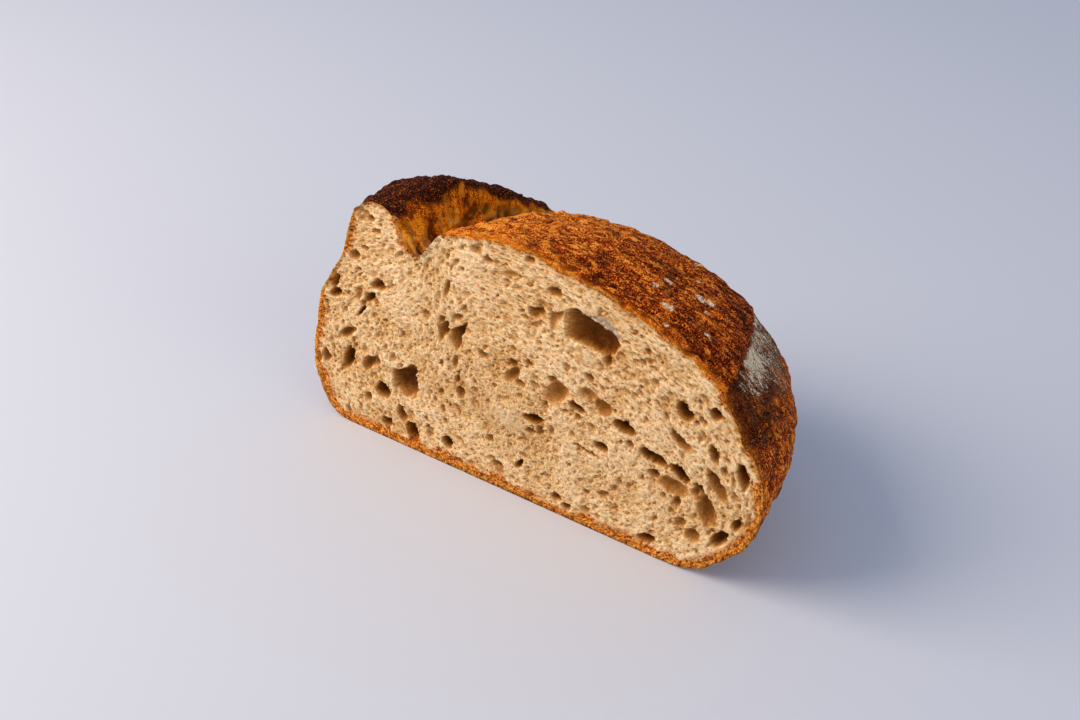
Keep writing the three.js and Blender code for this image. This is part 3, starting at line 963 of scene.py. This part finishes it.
# %% Crust patterns
GRAIN_MM = 1.1
STREAK_MM = 1.8
MOTTLE_MM = 4.5
FLAKE_MM = 0.55
crust_material, tree, surface_input = new_material("baked_wheat_crust")
place = add_node(tree, "TexCoord", out="Object")
skin = add_node(tree, "Attribute", {"attribute_name": "skin_place"}, out="Vector")
stretched = add_node(tree, "Mapping", inputs={"Vector": skin, "Scale": (0.34, 1, 1)})
patterns = {}
for name, where, size, detail, rough, warp in (
    ("streak", stretched, STREAK_MM, 5, 0.75, 0.6),
    ("crackle", place, STREAK_MM * MM, 5, 0.75, 0.6),
    ("grain", place, GRAIN_MM * MM, 3, 0.75, 0),
    ("mottle", place, MOTTLE_MM * MM, 3, 0.6, 0),
    ("flake", place, FLAKE_MM * MM, 1, 0.6, 0),
):
    inputs = {"Vector": where, "Scale": 1 / size, "Detail": detail, "Roughness": rough, "Distortion": warp}
    patterns[name] = add_node(tree, "TexNoise", inputs=inputs)
painted = {
    name: add_node(tree, "Attribute", {"attribute_name": name}, out="Fac") for name in crust_paints
}
inputs = {0: painted["pole"], 2: patterns["streak"], 3: patterns["crackle"]}
patterns["streak"] = add_node(tree, "Mix", {"data_type": "FLOAT"}, inputs)
print("crust patterns:", ", ".join(patterns))

# %% [markdown]
# A painted amount alone would give soft, airbrushed zones. Each one has the noises added to it,
# centred on zero and weighted, before it picks a colour, so that a zone frays at its border.

# %% Crust amounts
recipes = {
    "browned_and_crease_shade": (painted["bake"], {"streak": 4.2, "grain": 2.5, "flake": 2.2, "mottle": 2.0}),
    "wall_tone": (painted["up_wall"], {"streak": 2.6, "grain": 1.5, "flake": 1.2, "mottle": 1.0}),
    "char_tone": (0.5, {"grain": 1.0, "flake": 0.9}),
    "dusted": (painted["flour"], {"streak": 4.6, "grain": 2.4, "flake": 1.4}),
    "flecked": (painted["flecks"], {"grain": 4.4, "streak": 2.0, "flake": 2.4}),
    "gilded": (painted["rim"], {"streak": 3.0, "grain": 2.4, "flake": 1.6}),
    "height": (0.5, {"streak": 1.0, "grain": 1.0, "flake": 0.5}),
}
amounts = {}
for name, (total, weights) in recipes.items():
    for pattern, weight in weights.items():
        inputs = {0: patterns[pattern], 1: weight, 2: total}
        total = add_node(tree, "Math", {"operation": "MULTIPLY_ADD"}, inputs)
    middle = sum(weights.values()) / 2
    amounts[name] = add_node(tree, "Math", {"operation": "SUBTRACT"}, {0: total, 1: middle})
# The relief shifts the colour too: hollows are painted darker and ridges lighter, a painted shade on top of
# the real browning.
inputs = {0: painted["relief"], 1: -0.12, 2: amounts["browned_and_crease_shade"]}
amounts["browned_and_crease_shade"] = add_node(tree, "Math", {"operation": "MULTIPLY_ADD"}, inputs)
print("crust amounts:", ", ".join(amounts))

# %% [markdown]
# The oven takes dough from straw through orange and red-brown to black, so a colour ramp stands for
# each kind of surface. Char is matt and almost black, the hollows of the relief get a painted shade,
# the thin rim beside the cut is gold, and flour is a matt white dust that only shows near the places
# that were painted for it.

# %% Crust colours
crust_ramp = {0: "#FFAA40", 0.2: "#F87A14", 0.4: "#DC5408", 0.6: "#A43204", 0.8: "#661A02", 1: "#1C0600"}
wall_ramp = {0: "#C8A070", 0.14: "#E8A440", 0.36: "#FFA810", 0.6: "#FF8C0C", 0.82: "#D0540E", 1: "#481204"}
char_ramp = {0.36: "#160804", 0.57: "#481C0E", 0.79: "#A85428"}
crust_colours = {
    name: add_node(tree, "ValToRGB", None, {"Fac": amounts[name]}, stops)
    for name, stops in (("browned_and_crease_shade", crust_ramp), ("wall_tone", wall_ramp), ("char_tone", char_ramp))
}
shares = {}
for name, value, lowest, highest, most in (
    ("dusted", amounts["dusted"], 0.3, 0.95, 0.96),
    ("flecked", amounts["flecked"], 0.55, 0.72, 1.0),
    ("flour_near", painted["flour"], 0.02, 0.12, 1.0),
    ("fleck_near", painted["flecks"], 0.02, 0.12, 1.0),
    # the lower the relief, the more painted shade goes into its creases and pits
    ("crease_shade", painted["relief"], 0.0, -1.2, 0.75),
    ("gilded", amounts["gilded"], 0.4, 1.3, 0.8),
):
    inputs = {"Value": value, "From Min": lowest, "From Max": highest, "To Max": most}
    shares[name] = add_node(tree, "MapRange", inputs=inputs)
for amount, near in (("dusted", "flour_near"), ("flecked", "fleck_near")):
    inputs = {0: shares[amount], 1: shares[near]}
    shares[amount] = add_node(tree, "Math", {"operation": "MULTIPLY"}, inputs)
layers = (
    (painted["wall"], crust_colours["wall_tone"]),
    (painted["char"], crust_colours["char_tone"]),
    # painted shade, near black, in the creases and pits of the relief
    (shares["crease_shade"], "#2A0A02"),
    (shares["gilded"], "#FF8A0C"),
    (shares["dusted"], "#FFECC6"),
    (shares["flecked"], "#FFEEC8"),
)
colour = crust_colours["browned_and_crease_shade"]
for share, above in layers:
    inputs = {0: share, 6: colour, 7: above}
    colour = add_node(tree, "Mix", {"data_type": "RGBA"}, inputs, out=2)
print("colours laid over the browned crust:", len(layers))

# %% [markdown]
# Under a low light the same noises have to stand up as relief, so they also drive a bump. The gloss
# is weak and broken: the roughness follows the grains.

# %% Crust shader
inputs = {"Value": patterns["grain"], "To Min": 0.4, "To Max": 0.8}
matt = add_node(tree, "MapRange", inputs=inputs)
inputs = {"Height": amounts["height"], "Strength": 0.8, "Distance": 1.2 * MM}
bump = add_node(tree, "Bump", inputs=inputs)
inputs = {"IOR": 1.45, "Specular IOR Level": 0.05, "Base Color": colour, "Roughness": matt, "Normal": bump}
tree.links.new(add_node(tree, "BsdfPrincipled", inputs=inputs), surface_input)
crust.data.materials.append(crust_material)
print("the crust's material has", len(tree.nodes), "nodes")

# %% [markdown]
# ## Material: sourdough crumb
#
# Crumb is set starch and gluten, cream coloured and slightly see-through, so light wanders through
# the thin walls between pores. Its fibres follow the flow of the dough, and stand upright below the
# score. Bran shows as brown specks.

# %% Crumb patterns
FIBRE_MM = 1.2
PORE_MM = 0.7
SPECK_MM = 1.0
TONE_MM = 14
crumb_material, tree, surface_input = new_material("sourdough_crumb")
place = add_node(tree, "TexCoord", out="Object")
flow = add_node(tree, "Attribute", {"attribute_name": "flow_place"}, out="Vector")
fibre_place = add_node(tree, "Mapping", inputs={"Vector": flow, "Scale": (0.36, 1, 1)})
upright_place = add_node(tree, "Mapping", inputs={"Vector": place, "Scale": (1, 1, 0.36)})
patterns = {}
for name, where, size, detail, rough in (
    ("fibre", fibre_place, FIBRE_MM, 3, 0.6),
    ("upright", upright_place, FIBRE_MM * MM, 3, 0.6),
    ("pore", place, PORE_MM * MM, 2, 0.6),
    ("tone", place, TONE_MM * MM, 2, 0.6),
    ("speck", place, SPECK_MM * MM, 1, 0.5),
):
    inputs = {"Vector": where, "Scale": 1 / size, "Detail": detail, "Roughness": rough}
    patterns[name] = add_node(tree, "TexNoise", inputs=inputs)
painted = {
    name: add_node(tree, "Attribute", {"attribute_name": name}, out="Fac") for name in crumb_paints
}
inputs = {0: painted["pulled_up"], 2: patterns["fibre"], 3: patterns["upright"]}
patterns["fibre"] = add_node(tree, "Mix", {"data_type": "FLOAT"}, inputs)
print("crumb patterns:", ", ".join(patterns))

# %% [markdown]
# The smallest pores are finer than the mesh, so they are drawn by the material: round cells from a
# Voronoi texture, each with its own radius, stretched along the flow and a little warped. Each one
# dents the bump and darkens the colour, a painted shade for a hollow too small for the mesh.

# %% Crumb pores
PORE_SIZES = {"fine_cell": (1.5, 0.5), "wide_cell": (3.1, 0.42)}
pore_place = add_node(tree, "Mapping", inputs={"Vector": flow, "Scale": (0.6, 1, 1)})
inputs = {0: patterns["fibre"], 1: (0.9, 0.9, 0.9), 2: pore_place}
warped = add_node(tree, "VectorMath", {"operation": "MULTIPLY_ADD"}, inputs)
for name, (size, widest) in PORE_SIZES.items():
    inputs = {"Vector": warped, "Scale": 1 / size}
    cell = add_node(tree, "TexVoronoi", {"voronoi_dimensions": "2D"}, inputs).node
    inputs = {"Value": cell.outputs["Color"], "To Min": 0.05, "To Max": widest}
    reach = add_node(tree, "MapRange", inputs=inputs)
    inputs = {"Value": cell.outputs["Distance"], "From Max": reach, "To Min": 1.0, "To Max": 0.0}
    patterns[name] = add_node(tree, "MapRange", {"interpolation_type": "SMOOTHSTEP"}, inputs)
print("drawn pores are up to", [round(2 * size * widest, 1) for size, widest in PORE_SIZES.values()], "mm")

# %% [markdown]
# The torn foam gets a painted shade that darkens it the deeper it lies. The walls of large bubbles
# are a smooth film, with a painted shade that makes them browner towards the back of the hole, and
# next to the crust the crumb is toasted.

# %% Crumb amounts
shares = {}
for name, value, lowest, highest, least, most in (
    # sunk: a painted shade, light at the surface and dark from about 3 mm down
    ("sunk", painted["deep"], 0.2, 3.2, 0.2, 1.0),
    # hole depth: a painted shade that darkens the walls of large holes the deeper they lie
    ("hole_depth_shade", painted["deep"], 0.5, 5.5, 0.1, 1.0),
    ("bran", patterns["speck"], 0.69, 0.74, 0.0, 0.7),
    ("matt", painted["cavity"], 0.0, 1.0, 0.85, 0.5),
    ("in_cavity", painted["cavity"], 0.0, 1.0, 0.0, 0.9),
    ("in_film", painted["film"], 0.0, 1.0, 0.0, 0.8),
):
    inputs = {"Value": value, "From Min": lowest, "From Max": highest, "To Min": least, "To Max": most}
    shares[name] = add_node(tree, "MapRange", inputs=inputs)
recipes = {
    # the torn crumb's tone starts from the painted depth shade, and the drawn pores add painted shade
    "torn_tone_and_shade": (shares["sunk"], {"fibre": 1.1, "pore": 0.6, "fine_cell": 0.42, "wide_cell": 0.46}),
    "cavity_tone_and_shade": (shares["hole_depth_shade"], {"pore": 0.6, "tone": 0.7, "fibre": 0.5}),
    "toast_place": (painted["band"], {"fibre": 1.0, "pore": 0.6}),
    "toast_tone": (0.5, {"fibre": 1.0, "pore": 1.0}),
    "height": (0.5, {"fibre": 1.0, "pore": 0.7, "fine_cell": -0.5, "wide_cell": -0.6}),
}
amounts = {}
for name, (total, weights) in recipes.items():
    for pattern, weight in weights.items():
        inputs = {0: patterns[pattern], 1: weight, 2: total}
        total = add_node(tree, "Math", {"operation": "MULTIPLY_ADD"}, inputs)
    middle = sum(weight for pattern, weight in weights.items() if not pattern.endswith("cell")) / 2
    amounts[name] = add_node(tree, "Math", {"operation": "SUBTRACT"}, {0: total, 1: middle})
inputs = {"Value": amounts["toast_place"], "From Min": 0.75, "From Max": 1.3, "To Min": 1.0, "To Max": 0.0}
shares["toasted"] = add_node(tree, "MapRange", inputs=inputs)
print("crumb amounts:", ", ".join(amounts))

# %% Crumb colours
torn_ramp = {0.1: "#F8DAAE", 0.38: "#E2B980", 0.68: "#C08648", 1.0: "#90541C"}
cavity_ramp = {0.05: "#DCAE74", 0.3: "#B67E3E", 0.6: "#8E5618", 1.0: "#603006"}
toast_ramp = {0.32: "#742C08", 0.5: "#CC7424", 0.66: "#F2AA50"}
film_ramp = {0.4: "#8E7A66", 0.6: "#CBB8A0"}
colours = {
    name: add_node(tree, "ValToRGB", None, {"Fac": value}, stops)
    for name, value, stops in (
        ("torn", amounts["torn_tone_and_shade"], torn_ramp),
        ("cavity", amounts["cavity_tone_and_shade"], cavity_ramp),
        ("toast", amounts["toast_tone"], toast_ramp),
        ("film", patterns["fibre"], film_ramp),
    )
}
layers = (
    (shares["in_cavity"], colours["cavity"]),
    (shares["in_film"], colours["film"]),
    (shares["bran"], "#8A5A32"),
    (shares["toasted"], colours["toast"]),
    (painted["stray"], "#E07C18"),
)
colour = colours["torn"]
for share, above in layers:
    inputs = {0: share, 6: colour, 7: above}
    colour = add_node(tree, "Mix", {"data_type": "RGBA"}, inputs, out=2)
print("colours laid over the torn crumb:", len(layers))

# %% [markdown]
# Light enters the thin walls and comes out a millimetre or two further on, redder. That is
# subsurface scattering, and it keeps the foam from looking like plaster.

# %% Crumb shader
inputs = {"Height": amounts["height"], "Strength": 0.5, "Distance": 0.6 * MM}
bump = add_node(tree, "Bump", inputs=inputs)
crumb_look = {
    "IOR": 1.45,
    "Specular IOR Level": 0.08,
    "Subsurface Weight": 0.5,
    "Subsurface Radius": (1.0, 0.6, 0.35),
    "Subsurface Scale": 2.0 * MM,
    "Base Color": colour,
    "Roughness": shares["matt"],
    "Normal": bump,
}
tree.links.new(add_node(tree, "BsdfPrincipled", inputs=crumb_look), surface_input)
crumb.data.materials.append(crumb_material)
for piece in (crust, crumb):
    select_only(piece)
    bpy.ops.object.shade_smooth()
print("the crumb's material has", len(tree.nodes), "nodes")

# %% [markdown]
# ## Floor and light
#
# The loaf stands on a plain pale floor. One large soft lamp stands to the left, as a window does, a
# weaker one to the right keeps the flank from going dull, and a pale blue sky fills the shadows.

# %% Floor, lamp and sky
bpy.ops.object.select_all(action="DESELECT")
bpy.ops.mesh.primitive_plane_add(size=5.0)
floor = bpy.context.object
floor.name = "floor"
floor_material, tree, surface_input = new_material("pale_matt_board")
inputs = {"Base Color": "#CED4E0", "Roughness": 0.6, "Specular IOR Level": 0.3}
tree.links.new(add_node(tree, "BsdfPrincipled", inputs=inputs), surface_input)
floor.data.materials.append(floor_material)

# Each lamp is its name, the way to it, how far off it stands, its size, its power and its colour.
LAMPS = [
    ("window", (-0.62, -0.46, 0.62), 1.4, 1.0, 20.5, (1.0, 0.83, 0.66)),
    ("fill", (0.88, -0.30, 0.34), 1.6, 1.2, 6.5, (1.0, 0.86, 0.70)),
]
for name, towards, distance, size, energy, colour in LAMPS:
    towards = Vector(towards).normalized()
    lamp = add_object(name, bpy.data.lights.new(name, "AREA"))
    lamp.data.shape = "SQUARE"
    lamp.data.size = size
    lamp.data.energy = energy
    lamp.data.color = colour
    lamp.location = towards * distance
    aim(lamp, -towards)

sky = bpy.data.worlds.new("sky")
bpy.context.scene.world = sky
sky.use_nodes = True
sky.node_tree.nodes["Background"].inputs["Color"].default_value = (0.66, 0.77, 1.0, 1)
sky.node_tree.nodes["Background"].inputs["Strength"].default_value = 0.5
bpy.context.scene.view_settings.view_transform = "Standard"

# %% [markdown]
# ## Hand over
#
# Both pieces stand for the one solid and move with it.

# %% Join the pieces to the frame
for piece, slot in ((crust, "crust"), (crumb, "crumb")):
    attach(piece, "root")
    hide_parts("loaf")
    piece.data.calc_loop_triangles()
    print(piece.name, "has", len(piece.data.loop_triangles), "triangles")
